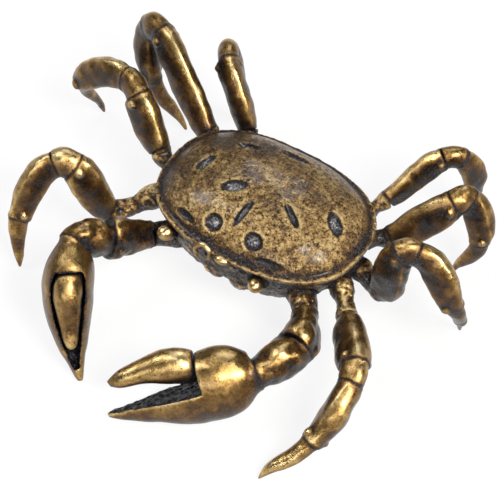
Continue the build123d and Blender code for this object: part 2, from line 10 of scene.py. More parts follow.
# %% Load the castings
import bpy
import math
import numpy as np
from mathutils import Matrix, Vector, noise
from mathutils.bvhtree import BVHTree
from mathutils.kdtree import KDTree


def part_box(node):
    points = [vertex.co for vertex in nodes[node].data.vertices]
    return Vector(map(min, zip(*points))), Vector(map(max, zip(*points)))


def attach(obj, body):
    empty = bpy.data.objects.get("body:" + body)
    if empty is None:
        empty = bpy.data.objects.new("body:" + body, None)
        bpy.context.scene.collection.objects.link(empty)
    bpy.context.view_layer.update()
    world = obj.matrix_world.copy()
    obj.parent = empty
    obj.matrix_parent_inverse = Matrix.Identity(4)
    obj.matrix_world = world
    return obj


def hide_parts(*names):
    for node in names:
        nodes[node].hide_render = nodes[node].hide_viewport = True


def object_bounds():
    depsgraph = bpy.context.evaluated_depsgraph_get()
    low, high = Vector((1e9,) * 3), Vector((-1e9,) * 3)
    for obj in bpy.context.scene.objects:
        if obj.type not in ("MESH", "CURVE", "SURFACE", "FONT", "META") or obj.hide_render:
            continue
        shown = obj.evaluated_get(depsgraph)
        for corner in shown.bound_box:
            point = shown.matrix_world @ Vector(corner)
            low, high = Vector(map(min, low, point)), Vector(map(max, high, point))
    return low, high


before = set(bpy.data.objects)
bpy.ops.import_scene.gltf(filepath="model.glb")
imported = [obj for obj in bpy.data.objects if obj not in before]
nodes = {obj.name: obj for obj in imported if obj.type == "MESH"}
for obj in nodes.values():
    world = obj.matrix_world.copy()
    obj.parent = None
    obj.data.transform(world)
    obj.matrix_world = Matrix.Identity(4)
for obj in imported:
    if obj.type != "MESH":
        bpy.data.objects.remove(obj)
cad_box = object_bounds()
mm = 0.001
print("castings:", len(nodes))
print("box in mm:", [round(side / mm, 1) for side in cad_box[1] - cad_box[0]])

# %% [markdown]
# ## The camera
# The near claw doesn't look swollen in the photograph, so a long lens is used from a forearm's
# length away. The camera could be placed by eye and nudged, but a turn, a rise and a distance
# round a point on the crab are easier to reason about, so the place is worked out from those.

# %% Place the camera
view_turn = math.radians(33.5)
view_rise = math.radians(52.0)
view_distance = 380 * mm
aim_point = Vector((3.346, 0.147, 7.774)) * mm
lens_length = 223.8
sensor_width = 36
nearest_seen = 10 * mm


def direction(turn, rise):
    """The way from the crab at a turn from its front and a rise above the floor."""
    return Vector((
        math.sin(turn) * math.cos(rise),
        -math.cos(turn) * math.cos(rise),
        math.sin(rise),
    ))


towards_camera = direction(view_turn, view_rise)
camera_data = bpy.data.cameras.new("product_camera")
camera_data.lens = lens_length
camera_data.sensor_width = sensor_width
camera_data.clip_start = nearest_seen
camera = bpy.data.objects.new("product_camera", camera_data)
camera.location = aim_point + towards_camera * view_distance
camera.rotation_euler = towards_camera.to_track_quat("Z", "Y").to_euler()
bpy.context.scene.collection.objects.link(camera)
bpy.context.scene.camera = camera
bpy.context.scene.view_settings.view_transform = "Standard"
print("camera at, in mm:", [round(side / mm, 1) for side in camera.location])

# %% [markdown]
# ## The floor
# The crab stands on white paper. A lamp strong enough to burn the paper out to white would
# flatten the brass, so part of what the camera sees of the paper is its own even white, and the
# rest is lit paper that still takes the shadow of the legs. The same white is shown to the rays
# that bounce off metal, so the brass reflects the paper that the camera sees.

# %% Pick the rays that see plain white
studio_kinds = ("Is Camera Ray", "Is Glossy Ray", "Is Transmission Ray")


def maths(tree, operation, first, second, clamp=False):
    """A Math node on two sockets or numbers."""
    node = tree.nodes.new("ShaderNodeMath")
    node.operation = operation
    node.use_clamp = clamp
    for slot, value in enumerate((first, second)):
        if isinstance(value, (int, float)):
            node.inputs[slot].default_value = value
        else:
            tree.links.new(value, node.inputs[slot])
    return node.outputs[0]


def studio_rays(tree):
    """A value of 1 for the rays that should see the plain studio."""
    rays = tree.nodes.new("ShaderNodeLightPath").outputs
    seen, gloss, glass = [rays[kind] for kind in studio_kinds]
    return maths(tree, "MAXIMUM", maths(tree, "MAXIMUM", seen, gloss), glass)


print("rays that see plain white:", len(studio_kinds), "kinds")

# %% Mix the white of the paper
paper_colour = (0.82, 0.82, 0.82, 1)
paper_roughness = 0.9
paper_gloss = 0.1
paper_glow_colour = (1, 1, 1, 1)
paper_glow_share = 0.86

paper = bpy.data.materials.new("white_paper")
paper.use_nodes = True
tree = paper.node_tree
lit = tree.nodes["Principled BSDF"]
lit.inputs["Base Color"].default_value = paper_colour
lit.inputs["Roughness"].default_value = paper_roughness
lit.inputs["Specular IOR Level"].default_value = paper_gloss
glow = tree.nodes.new("ShaderNodeEmission")
glow.inputs["Color"].default_value = paper_glow_colour
blend = tree.nodes.new("ShaderNodeMixShader")
glow_share = maths(tree, "MULTIPLY", studio_rays(tree), paper_glow_share)
tree.links.new(glow_share, blend.inputs["Fac"])
tree.links.new(lit.outputs["BSDF"], blend.inputs[1])
tree.links.new(glow.outputs["Emission"], blend.inputs[2])
tree.links.new(blend.outputs["Shader"], tree.nodes["Material Output"].inputs["Surface"])
print("share of the paper's own white:", paper_glow_share)

# %% Lay the paper
paper_half_width = 1500 * mm

bpy.ops.object.select_all(action="DESELECT")
bpy.ops.mesh.primitive_plane_add(size=2 * paper_half_width, location=(0, 0, 0))
floor = bpy.context.object
floor.name = "paper_floor"
floor.data.materials.append(paper)
print("paper is", 2 * paper_half_width, "m wide")

# %% [markdown]
# ## The light
# Polished metal shows its surroundings, so most of the look comes from what stands round it. A
# light tent would make the brass one even yellow. A studio with a pale horizon, a dim ceiling
# and a few softboxes gives it bright streaks with dark bands between them, as the photograph has.

# %% Paint the studio
horizon_colour = (0.16, 0.16, 0.17, 1)
ceiling_colour = (0.015, 0.015, 0.018, 1)
fill_colour = (0.12, 0.12, 0.13, 1)
horizon_end = 0.30
ceiling_start = 0.55

world = bpy.data.worlds.new("studio")
bpy.context.scene.world = world
world.use_nodes = True
tree = world.node_tree
outwards_from_crab = tree.nodes.new("ShaderNodeTexCoord").outputs["Generated"]
split = tree.nodes.new("ShaderNodeSeparateXYZ")
tree.links.new(outwards_from_crab, split.inputs[0])
sky = tree.nodes.new("ShaderNodeValToRGB")
low, high = sky.color_ramp.elements
low.position = horizon_end
low.color = horizon_colour
high.position = ceiling_start
high.color = ceiling_colour
tree.links.new(split.outputs["Z"], sky.inputs["Fac"])
choice = tree.nodes.new("ShaderNodeMix")
choice.data_type = "RGBA"
tree.links.new(studio_rays(tree), choice.inputs["Factor"])
choice.inputs["A"].default_value = fill_colour
tree.links.new(sky.outputs["Color"], choice.inputs["B"])
tree.links.new(choice.outputs["Result"], tree.nodes["Background"].inputs["Color"])
print("world:", world.name)

# %% Hang the softboxes
softbox_distance = 600 * mm
plain_white = (1, 1, 1)
warm_white = (1.0, 0.97, 0.92)
cool_white = (0.95, 0.97, 1.0)
cooler_white = (0.94, 0.96, 1.0)


def softbox(name, turn, rise, width, height, watts, tint):
    """A lamp with a flat oblong face, at a turn and a rise round the crab, facing it."""
    data = bpy.data.lights.new(name, "AREA")
    data.shape = "RECTANGLE"
    data.size = width
    data.size_y = height
    data.energy = watts
    data.color = tint
    away = direction(math.radians(turn), math.radians(rise))
    lamp = bpy.data.objects.new(name, data)
    lamp.location = aim_point + away * softbox_distance
    lamp.rotation_euler = away.to_track_quat("Z", "Y").to_euler()
    bpy.context.scene.collection.objects.link(lamp)


softbox("key_softbox", turn=72, rise=48, width=260 * mm, height=240 * mm,
        watts=5.0, tint=warm_white)
softbox("left_softbox", turn=-75, rise=55, width=90 * mm, height=240 * mm,
        watts=1.3, tint=cool_white)
softbox("front_softbox", turn=12, rise=30, width=260 * mm, height=50 * mm,
        watts=0.8, tint=plain_white)
softbox("rear_softbox", turn=205, rise=48, width=240 * mm, height=60 * mm,
        watts=0.6, tint=cooler_white)

# %% [markdown]
# ## The cast skin
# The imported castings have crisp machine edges, and the photograph shows none: every edge looks
# a little melted, and the skin has shallow dents, as castings made from wax have. The shape
# could be rebuilt by hand with a cage, but a voxel remesh of a copy keeps each casting where it
# belongs and spreads even small faces over it, and then smoothing and two shallow displacements
# do the melting.

# %% Copy the castings
merge_distance = 0.001 * mm


def alone(piece):
    """Selects one piece and nothing else."""
    bpy.ops.object.select_all(action="DESELECT")
    piece.select_set(True)
    bpy.context.view_layer.objects.active = piece


def merged_copy(node_name):
    """A new object with a copy of a casting's mesh, its loose triangles merged."""
    copy = bpy.data.objects.new("cast_" + node_name, nodes[node_name].data.copy())
    bpy.context.scene.collection.objects.link(copy)
    copy.data.materials.clear()
    alone(copy)
    bpy.ops.object.mode_set(mode="EDIT")
    bpy.ops.mesh.select_all(action="SELECT")
    bpy.ops.mesh.remove_doubles(threshold=merge_distance)
    bpy.ops.object.mode_set(mode="OBJECT")
    return copy


castings = {node_name: merged_copy(node_name) for node_name in sorted(nodes)}
print("castings copied:", len(castings))

# %% Say how each kind of casting was worked
word_kinds = (
    ("carapace", "shell"),
    ("thorax", "underbody"),
    ("eye", "eye"),
    ("brow", "brow"),
    ("shoulder", "root"),
    ("hip", "root"),
    ("arm", "arm"),
    ("wrist", "arm"),
    ("hand", "pincer"),
    ("finger", "pincer"),
    ("leg", "leg"),
)
skins = {
    # Each kind's face size, smoothing turns, dent depth and ripple depth.
    "shell": (0.16 * mm, 3, 0.20 * mm, 0.06 * mm),
    "underbody": (0.18 * mm, 2, 0.40 * mm, 0.40 * mm),
    "eye": (0.10 * mm, 2, 0.04 * mm, 0.02 * mm),
    "brow": (0.08 * mm, 3, 0.16 * mm, 0.08 * mm),
    "root": (0.15 * mm, 2, 0.60 * mm, 0.30 * mm),
    "arm": (0.15 * mm, 4, 0.75 * mm, 0.10 * mm),
    "pincer": (0.14 * mm, 7, 0.26 * mm, 0.03 * mm),
    "leg": (0.15 * mm, 9, 0.42 * mm, 0.03 * mm),
}


def kind_of(name):
    """The kind that belongs to the first of the words that a name holds."""
    return next(kind for word, kind in word_kinds if word in name)


print("kinds:", sorted({kind_of(name) for name in castings}))

# %% Make the dents and ripples of the wax
dent_size = 2.8 * mm
dent_detail = 1
ripple_size = 0.8 * mm
ripple_detail = 2


def clouds(name, size, detail):
    """A cloudy texture of soft lumps."""
    texture = bpy.data.textures.new(name, "CLOUDS")
    texture.noise_scale = size
    texture.noise_depth = detail
    return texture


dents = clouds("wax_dents", dent_size, dent_detail)
ripples = clouds("wax_ripples", ripple_size, ripple_detail)
print("textures:", dents.name, ripples.name)

# %% Melt the edges
dent_middle = 0.62
smoothing_share = 0.5


def press_texture(piece, name, texture, depth):
    """Presses a texture into the surface, a little more inwards than outwards."""
    modifier = piece.modifiers.new(name, "DISPLACE")
    modifier.texture = texture
    modifier.texture_coords = "LOCAL"
    modifier.mid_level = dent_middle
    modifier.strength = depth


def melt(piece, grain, smoothing_turns, dent_depth, ripple_depth):
    """Remeshes, smooths and dents one casting."""
    remesh = piece.modifiers.new("even faces", "REMESH")
    remesh.mode = "VOXEL"
    remesh.voxel_size = grain
    smooth = piece.modifiers.new("melted edges", "SMOOTH")
    smooth.factor = smoothing_share
    smooth.iterations = smoothing_turns
    press_texture(piece, "dents", dents, dent_depth)
    press_texture(piece, "ripples", ripples, ripple_depth)
    alone(piece)
    for name in [modifier.name for modifier in piece.modifiers]:
        bpy.ops.object.modifier_apply(modifier=name)
    for polygon in piece.data.polygons:
        polygon.use_smooth = True


for node_name, piece in castings.items():
    melt(piece, *skins[kind_of(node_name)])
print("faces in all:", sum(len(piece.data.polygons) for piece in castings.values()))

# %% Put each casting in its node's place
for node_name, piece in castings.items():
    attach(piece, "root")
    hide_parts(node_name)
print("castings with a cast skin:", len(castings))

# %% [markdown]
# ## Keels along the limbs
# A crab's thighs and shins aren't round: flat sides meet in keels that run along them, and the
# real castings catch the light along those lines. Keels could be cut by hand on every limb, but
# one rule serves all: each point is pulled inwards or pushed outwards by its turn round the
# casting's own long line. The same move plumps the castings that are fuller in the photograph.

# %% Read and move the points of a casting
keeled = ("thigh", "shin", "arm")


def vectors_of(piece, kind):
    """The places, "co", or the normals, "normal", of a piece's vertices as an array."""
    flat = np.empty(len(piece.data.vertices) * 3)
    piece.data.vertices.foreach_get(kind, flat)
    return flat.reshape(-1, 3)


def points_of(piece):
    """The places of a piece's vertices."""
    return vectors_of(piece, "co")


def put_points(piece, places):
    """Moves the vertices of a piece, never out of the model's box."""
    inside = np.clip(places, np.array(cad_box[0]), np.array(cad_box[1]))
    piece.data.vertices.foreach_set("co", inside.ravel())
    piece.data.update()


def long_line(places):
    """The middle of a cloud of points and the way in which it is longest."""
    middle = places.mean(axis=0)
    return middle, np.linalg.eigh(np.cov((places - middle).T))[1][:, 2]


limbs = [name for name in castings if any(part in name for part in keeled)]
print("points to move:", sum(len(points_of(castings[name])) for name in limbs))

# %% Raise the keels
ridge_count = 3
ridge_depth = 0.36 * mm
ridge_middle = 0.55
ridge_bluntness = 0.8
plain_fullness = 0.18 * mm
fullness = {
    "left_leg_1_thigh": 0.36 * mm,
    "left_leg_1_shin": 0.36 * mm,
    "left_leg_2_thigh": 0.30 * mm,
    "left_leg_2_shin": 0.55 * mm,
    "left_leg_3_thigh": 0.32 * mm,
    "right_leg_2_thigh": 0.40 * mm,
    "right_leg_2_shin": 0.36 * mm,
    "right_leg_4_thigh": 0.36 * mm,
}


def keel(piece, plumpness):
    """Flattens a limb between keels that run along it, and plumps it."""
    places = points_of(piece)
    middle, along = long_line(places)
    upwards = np.array((0.0, 0.0, 1.0)) - along * along[2]
    upwards /= np.linalg.norm(upwards)
    across = np.cross(along, upwards)
    offset = places - middle
    turn = np.arctan2(offset @ across, offset @ upwards)
    shares = np.abs(np.sin(ridge_count * turn / 2)) ** ridge_bluntness - ridge_middle
    radial = offset - np.outer(offset @ along, along)
    radius = np.linalg.norm(radial, axis=1)
    pull = (shares * ridge_depth - plumpness) * np.clip(radius / radius.max(), 0, 1)
    # Near the long line the radius is taken as the ridge's depth, so nothing shoots outwards.
    put_points(piece, places - radial / np.maximum(radius, ridge_depth)[:, None] * pull[:, None])


for node_name in limbs:
    keel(castings[node_name], fullness.get(node_name, plain_fullness))
print("castings with keels:", len(limbs))

# %% [markdown]
# ## The open finger
# The upper finger of the open claw arches over its bite and ends in a sharp tip, where the
# packed one tapers plainly. It could be bent along a curve, but its arch, its droop and its
# sharp tip are each a simple rule of how far along the finger a point lies.

# %% Hook the open finger
hook_swell = 0.55 * mm
hook_droop = 0.55 * mm
hook_start = 0.55
hook_point_start = 0.86
hook_point_share = 0.5


def hook(finger, hand):
    """Arches the open finger of a claw over its bite and draws its end to a point."""
    places = points_of(finger)
    middle, along = long_line(places)
    palm = points_of(hand).mean(axis=0)
    if along @ (middle - palm) < 0:
        along = -along
    reach = (places - middle) @ along
    share = (reach - reach.min()) / (reach.max() - reach.min())
    outwards = (middle - palm) - along * (along @ (middle - palm))
    outwards /= np.linalg.norm(outwards)
    offset = places - middle - np.outer(reach, along)
    outer_side = np.clip((offset @ outwards) / np.abs(offset @ outwards).max(), 0, 1)
    swell = hook_swell * np.sin(math.pi * share) * outer_side
    droop = hook_droop * np.clip((share - hook_start) / (1 - hook_start), 0, 1) ** 2
    near_tip = np.clip((share - hook_point_start) / (1 - hook_point_start), 0, 1)
    point = hook_point_share * near_tip ** 2
    shift = np.outer(swell - droop, outwards) - offset * point[:, None]
    put_points(finger, places + shift)


hook(castings["left_claw_finger"], castings["left_claw_hand"])
print("finger hooked by, mm:", round(hook_swell / mm, 2))

# %% [markdown]
# ## The brow
# Over the mouth the front edge of the shell carries a small loop and a bead, as if the wax had
# been pinched there. A loop could be a bent curve with a round bevel, but a ring cut open below
# and melted like the castings gives the same uneven wire, and the bead is a squashed ball.

# %% Bend the loop
loop_place = Vector((0.05, -4.95, 10.20)) * mm
loop_radius = 1.05 * mm
loop_wire = 0.32 * mm
loop_lean = math.radians(74)
loop_steps = 32
wire_steps = 16

bpy.ops.object.select_all(action="DESELECT")
bpy.ops.mesh.primitive_torus_add(
    major_radius=loop_radius, minor_radius=loop_wire, major_segments=loop_steps,
    minor_segments=wire_steps, location=loop_place, rotation=(loop_lean, 0, 0))
loop = bpy.context.object
loop.name = "brow_loop"
bpy.ops.object.transform_apply(location=True, rotation=True, scale=True)
bpy.ops.object.mode_set(mode="EDIT")
bpy.ops.mesh.select_all(action="SELECT")
bpy.ops.mesh.bisect(plane_co=loop_place - Vector((0, 0, loop_radius / 2)), plane_no=(0, 0, 1),
                    use_fill=True, clear_inner=True)
bpy.ops.object.mode_set(mode="OBJECT")
print("loop is", round(2 * (loop_radius + loop_wire) / mm, 2), "mm across")

# %% Press the bead
bead_place = Vector((2.70, -4.90, 10.40)) * mm
bead_radius = 0.66 * mm
bead_sides = (1.60, 0.95, 0.95)
bead_steps = 24
bead_rings = 16

bpy.ops.object.select_all(action="DESELECT")
bpy.ops.mesh.primitive_uv_sphere_add(radius=bead_radius, segments=bead_steps,
                                     ring_count=bead_rings, location=bead_place,
                                     scale=bead_sides)
bead = bpy.context.object
bead.name = "brow_bead"
bpy.ops.object.transform_apply(location=True, rotation=True, scale=True)
print("bead is", round(2 * bead_radius * bead_sides[0] / mm, 2), "mm wide")

# %% Melt the brow
brow = {"brow_loop": loop, "brow_bead": bead}
for piece in brow.values():
    melt(piece, *skins["brow"])
    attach(piece, "root")
print("brow faces:", sum(len(piece.data.polygons) for piece in brow.values()))

# %% [markdown]
# ## Brazed creases
# Where two castings meet, the crease looks soft, as if braze had run into it. Bevels can't follow
# such joins, because the castings aren't one mesh, so each point is moved by a measurement of
# its own: the nearer it is to another casting, the more it swells. That lets neighbours sink
# into each other a little at a crease. The two halves of a claw's bite stand near each other as
# well, but they look free, so they leave each other out.

# %% Ready the measures
def normals_of(piece):
    """The normals of a piece's vertices."""
    return vectors_of(piece, "normal")


def edges_of(piece):
    """The vertex pairs of a piece's edges."""
    flat = np.empty(len(piece.data.edges) * 2, dtype=np.int64)
    piece.data.edges.foreach_get("vertices", flat)
    return flat.reshape(-1, 2)


def spread(values, edges, turns):
    """Each turn gives every vertex the mean of its neighbours' values and its own."""
    count = len(values)
    ends = np.concatenate([edges[:, 0], edges[:, 1]])
    others = np.concatenate([edges[:, 1], edges[:, 0]])
    neighbours = np.bincount(ends, minlength=count)
    columns = values.reshape(count, -1)
    for _ in range(turns):
        total = np.stack(
            [np.bincount(ends, weights=column[others], minlength=count) for column in columns.T],
            axis=1,
        )
        columns = (columns + total) / (1 + neighbours)[:, None]
    return columns.reshape(values.shape)


print("longest edge list:", max(len(piece.data.edges) for piece in castings.values()))

# %% Find what is near each casting
braze_reach = 0.9 * mm


def finder_of(piece):
    """A search tree of a piece's vertices."""
    places = points_of(piece)
    finder = KDTree(len(places))
    for index, place in enumerate(places):
        finder.insert(place, index)
    finder.balance()
    return finder


finders = {node_name: finder_of(piece) for node_name, piece in castings.items()}
boxes = {node_name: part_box(node_name) for node_name in castings}


def nearness_to_others(node_name, left_open=()):
    """For each vertex, 1 where it touches another casting and 0 from the braze's reach on."""
    places = points_of(castings[node_name])
    nearness = np.zeros(len(places))
    for other, (low, high) in boxes.items():
        if other == node_name or other in left_open:
            continue
        inside = np.all((places > np.array(low) - braze_reach)
                        & (places < np.array(high) + braze_reach), axis=1)
        for index in np.flatnonzero(inside):
            gap = finders[other].find(places[index])[2]
            nearness[index] = max(nearness[index], 1 - gap / braze_reach)
    return nearness


creases = {node_name: nearness_to_others(node_name) for node_name in castings}
print("castings with a crease:", sum(bool(crease.max() > 0) for crease in creases.values()))

# %% [markdown]
# ## The bite
# The inner faces of both claws look rough and black: rough as if they had never been filed, and
# black from painted shade across the bite. A coarse texture over the whole hand would spoil its
# polished back, so the points that face the finger across the bite are found first, and only those
# are roughened.

# %% Roughen the bite
bite_width = 4.5 * mm
bite_facing = 0.35
bite_edge_turns = 4
bite_grain = 0.55 * mm
bite_roughness = 0.30 * mm
bite_middle = 0.5


def pincers(node_name):
    """The hand and the finger of the claw that a casting belongs to."""
    claw = node_name.rpartition("_")[0]
    return claw + "_hand", claw + "_finger"


def bite_of(hand_name, finger_name):
    """For each vertex of a hand, 1 where it faces the finger across the bite."""
    hand = castings[hand_name]
    facing = []
    for place, normal in zip(points_of(hand), normals_of(hand)):
        nearest, _, gap = finders[finger_name].find(place)
        turned_to = Vector(normal).dot((nearest - Vector(place)).normalized())
        facing.append(float(gap < bite_width and turned_to > bite_facing))
    return spread(np.array(facing), edges_of(hand), bite_edge_turns)


bites = {name: bite_of(*pincers(name)) for name in ("left_claw_hand", "right_claw_hand")}
for name, bite in bites.items():
    places = points_of(castings[name])
    lumps = np.array([noise.noise(Vector(place) / bite_grain) for place in places])
    press = bite * (lumps - bite_middle) * bite_roughness
    put_points(castings[name], places + normals_of(castings[name]) * press[:, None])
print("share of each hand in its bite:", [round(bite.mean(), 2) for bite in bites.values()])

# %% Run braze into the creases
braze_height = 0.34 * mm
braze_turns = 3

brazed = [name for name in castings if kind_of(name) not in ("shell", "eye")]
for node_name in brazed:
    piece = castings[node_name]
    nearness = creases[node_name]
    if node_name in pincers(node_name):
        nearness = nearness_to_others(node_name, left_open=pincers(node_name))
    swelling = spread(nearness ** 2, edges_of(piece), braze_turns) * braze_height
    put_points(piece, points_of(piece) + normals_of(piece) * swelling[:, None])
print("brazed castings:", len(brazed))

# %% [markdown]
# ## The groove and the dimples of the shell
# The groove along the brim is softer than a cut one, and the dimples are pressed in with rolled
# lips round them. They could be sculpted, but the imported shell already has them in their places,
# so the shell is compared with a smoothed copy of itself: what lies below the copy is a hollow,
# and the rim of a hollow is its lip.

# %% Soften the groove
shell_smoothing_turns = 150
groove_fill_share = 0.55
dimple_fill_share = 0.12
groove_top = 11.6 * mm
groove_fade = 1.2 * mm


def depth_below(piece, turns):
    """How far each vertex lies below the smoothed surface; above it the depth is negative."""
    places = points_of(piece)
    smoothed = spread(places, edges_of(piece), turns)
    return np.einsum("ij,ij->i", smoothed - places, normals_of(piece))


shell = castings["carapace"]
shell_depth = depth_below(shell, shell_smoothing_turns)
above_groove = np.clip((points_of(shell)[:, 2] - groove_top) / groove_fade, 0, 1)
fill_share = groove_fill_share + (dimple_fill_share - groove_fill_share) * above_groove
lift = np.clip(shell_depth, 0, None) * fill_share
print("deepest hollow of the shell, mm:", round(shell_depth.max() / mm, 2))

# %% Press the dimples and roll their lips
full_hollow_depth = 0.22 * mm
least_hollow = 0.10
hollow_turns = 8
hollow_gain = 1.5
lip_turns = 30
lip_gain = 2
dimple_press = 0.22 * mm
lip_rise = 0.20 * mm

hollow = np.clip(shell_depth / full_hollow_depth - least_hollow, 0, 1)
wide_hollow = np.clip(spread(hollow, edges_of(shell), hollow_turns) * hollow_gain, 0, 1)
hollow_and_round = spread(wide_hollow, edges_of(shell), lip_turns)
lip = np.clip(hollow_and_round * lip_gain - wide_hollow * lip_gain, 0, 1)
lift += (lip * lip_rise - wide_hollow * dimple_press) * above_groove
put_points(shell, points_of(shell) + normals_of(shell) * lift[:, None])
print("share of the shell in hollows:", round(float(wide_hollow.mean()), 2))

# %% [markdown]
# ## Where patina and painted shade stay
# Dark patina is left wherever the rubbing cloth can't reach: in hollows and in the creases between
# castings. Where castings hide each other from the light, the darkening is painted shade as well
# as patina. A shader can guess at hollows while it renders, but that guess is lost when the model
# is exported, so the measurements are made here and kept on the mesh. Relief compares a point with
# a smoothed copy of the surface, once finely and once broadly. Recess is the share of short
# feelers, sent out from the point, that meet brass again, and it paints patina and shade together.

# %% Gather all the brass
pieces = {**castings, **brow}
all_points = []
all_faces = []
for piece in pieces.values():
    start = sum(len(block) for block in all_points)
    all_points.append(points_of(piece))
    for polygon in piece.data.polygons:
        all_faces.append([start + corner for corner in polygon.vertices])
all_brass = BVHTree.FromPolygons(np.concatenate(all_points).tolist(), all_faces)
print("faces that can stop a feeler:", len(all_faces))

# %% Send out the feelers
feeler_reach = 4.0 * mm
bite_shade_reach = 8.0 * mm
feeler_start = 0.06 * mm
feeler_turns = 4
feeler_rises = (20, 45, 70)
mask_turns = 4


def feelers(normal):
    """Directions spread over the half space in front of a normal."""
    side = normal.orthogonal().normalized()
    other_side = normal.cross(side)
    for rise in feeler_rises:
        flat = math.cos(math.radians(rise))
        up = math.sin(math.radians(rise))
        for turn in range(feeler_turns):
            angle = 2 * math.pi * turn / feeler_turns + math.radians(rise)
            yield normal * up + (side * math.cos(angle) + other_side * math.sin(angle)) * flat


def recess_of(piece, reach):
    """The share of a vertex's feelers that are stopped, each by how near it is stopped."""
    found = []
    for vertex in piece.data.vertices:
        start = vertex.co + vertex.normal * feeler_start
        stopped = 0
        for feeler in feelers(vertex.normal):
            distance = all_brass.ray_cast(start, feeler, reach)[3]
            if distance is not None:
                stopped += 1 - distance / reach
        found.append(stopped / (feeler_turns * len(feeler_rises)))
    return spread(np.array(found), edges_of(piece), mask_turns)


# The hands' feelers reach further, so the faces across each bite are painted darker, as painted
# shade.
recesses = {
    name: recess_of(piece, bite_shade_reach if "hand" in name else feeler_reach)
    for name, piece in pieces.items()
}
print("deepest recess:", round(max(float(recess.max()) for recess in recesses.values()), 2))

# %% Keep the measures on the meshes
fine_turns = 10
fine_relief = 0.06 * mm
broad_turns = 60
broad_relief = 0.22 * mm
groove_darkness = 0.2
hollow_edge_turns = 6


def write_value(piece, name, values):
    """Keeps one value per vertex on the mesh."""
    attribute = piece.data.attributes.new(name, "FLOAT", "POINT")
    attribute.data.foreach_set("value", values.astype(np.float32))


for name, piece in pieces.items():
    fine = np.clip(-depth_below(piece, fine_turns) / fine_relief, -1, 1)
    broad = np.clip(-depth_below(piece, broad_turns) / broad_relief, -1, 1)
    write_value(piece, "relief", fine)
    write_value(piece, "broad_relief", broad)
    write_value(piece, "recess", recesses[name])
    # The bite faces are painted dark like creases, as painted shade across the bite.
    if name in bites:
        creases[name] = np.maximum(creases[name], bites[name])
    if name in creases:
        write_value(piece, "crease", np.clip(creases[name], 0, 1))
    # How much each point faces up: it paints tops lighter and undersides darker, partly as wear
    # and partly as painted light and shade.
    write_value(piece, "upward", spread(normals_of(piece)[:, 2], edges_of(piece), mask_turns))
darkened = wide_hollow * (groove_darkness + (1 - groove_darkness) * above_groove)
write_value(shell, "hollow", spread(darkened, edges_of(shell), hollow_edge_turns))
print("measured pieces:", len(pieces))

# %% [markdown]
# ## Antique brass
# Rubbed brass is a pale gold metal, half-rubbed brass an olive brown, and untouched patina is
# nearly black with a cold sheen that is painted into its colour. Each could be a material of its
# own, but they are one finish at different stages, so one node group works out how far each point
# has been rubbed and turns that into colour, metal, roughness and height. Each material then sets
# how much rubbing and how much speckle its castings had.

# %% Open the rubbed brass group
rubbed_brass = bpy.data.node_groups.new("rubbed_brass", "ShaderNodeTree")
for name in ("Rubbing", "Mottle", "Speckle", "Edge Wear", "Front Wear", "Greyness"):
    rubbed_brass.interface.new_socket(name=name, in_out="INPUT", socket_type="NodeSocketFloat")
rubbed_brass.interface.new_socket(name="Color", in_out="OUTPUT", socket_type="NodeSocketColor")
for name in ("Metallic", "Roughness", "Height", "Lacquer"):
    rubbed_brass.interface.new_socket(name=name, in_out="OUTPUT", socket_type="NodeSocketFloat")
given = rubbed_brass.nodes.new("NodeGroupInput").outputs
result = rubbed_brass.nodes.new("NodeGroupOutput").inputs
place = rubbed_brass.nodes.new("ShaderNodeTexCoord").outputs["Object"]
print("sockets:", [item.name for item in rubbed_brass.interface.items_tree])

# %% Scatter clouds, mottling and specks
cloud_size = 4.0 * mm
mottle_size = 0.55 * mm
speck_size = 0.22 * mm
noise_middle = 0.5


def brassy(operation, first, second, clamp=False):
    """A Math node in the rubbed brass group."""
    return maths(rubbed_brass, operation, first, second, clamp)


def lumps_of(size, detail, roughness):
    """Noise whose lumps are about one size across."""
    node = rubbed_brass.nodes.new("ShaderNodeTexNoise")
    node.inputs["Scale"].default_value = 1 / size
    node.inputs["Detail"].default_value = detail
    node.inputs["Roughness"].default_value = roughness
    rubbed_brass.links.new(place, node.inputs["Vector"])
    return node.outputs["Fac"]


cloudy = brassy("SUBTRACT", lumps_of(cloud_size, detail=2, roughness=0.5), noise_middle)
mottle = brassy("SUBTRACT", lumps_of(mottle_size, detail=7, roughness=0.76), noise_middle)
speck = lumps_of(speck_size, detail=3, roughness=0.65)
print("nodes after the noises:", len(rubbed_brass.nodes))

# %% [markdown]
# ### How far each point is rubbed
# The cloth reaches raised places most, and creases and hollows least. Upward places are painted
# lighter, downward ones darker, and recesses darker, partly as wear and patina and partly as
# painted light and shade. The edge of a hollow is painted darker than its floor, as painted shade
# on its steep wall. The wear could be painted on by hand, but it would have to be painted again
# after each change of shape, so each reason adds or takes its own share, and their sum is one
# number for each point.

# %% Add up the rubbing
cloud_share = 0.7
# Painted light on tops and painted shade underneath, with wear.
top_wear_and_light_share = 0.42
# Recesses are darkened: patina, and painted shade where castings hide each other.
recess_patina_and_shade_share = -1.3
crease_share = -0.75
crease_sharpness = 2.0
hollow_share = -0.22
# Painted shade: a dark ring on the steep wall round each dimple.
hollow_rim_shade_share = -0.9


def measured(name):
    """The value that was kept on the mesh under a name."""
    node = rubbed_brass.nodes.new("ShaderNodeAttribute")
    node.attribute_name = name
    return node.outputs["Fac"]


def plus(first, second, share):
    """A value and a share of another."""
    return brassy("ADD", first, brassy("MULTIPLY", second, share))


in_crease = measured("crease")
in_hollow = measured("hollow")
on_hollow_rim = brassy("MULTIPLY", in_hollow, brassy("SUBTRACT", 1, in_hollow))
rubbed = plus(given["Rubbing"], measured("relief"), given["Edge Wear"])
rubbed = plus(rubbed, measured("broad_relief"), given["Edge Wear"])
rubbed = plus(rubbed, cloudy, cloud_share)
rubbed = plus(rubbed, mottle, given["Mottle"])
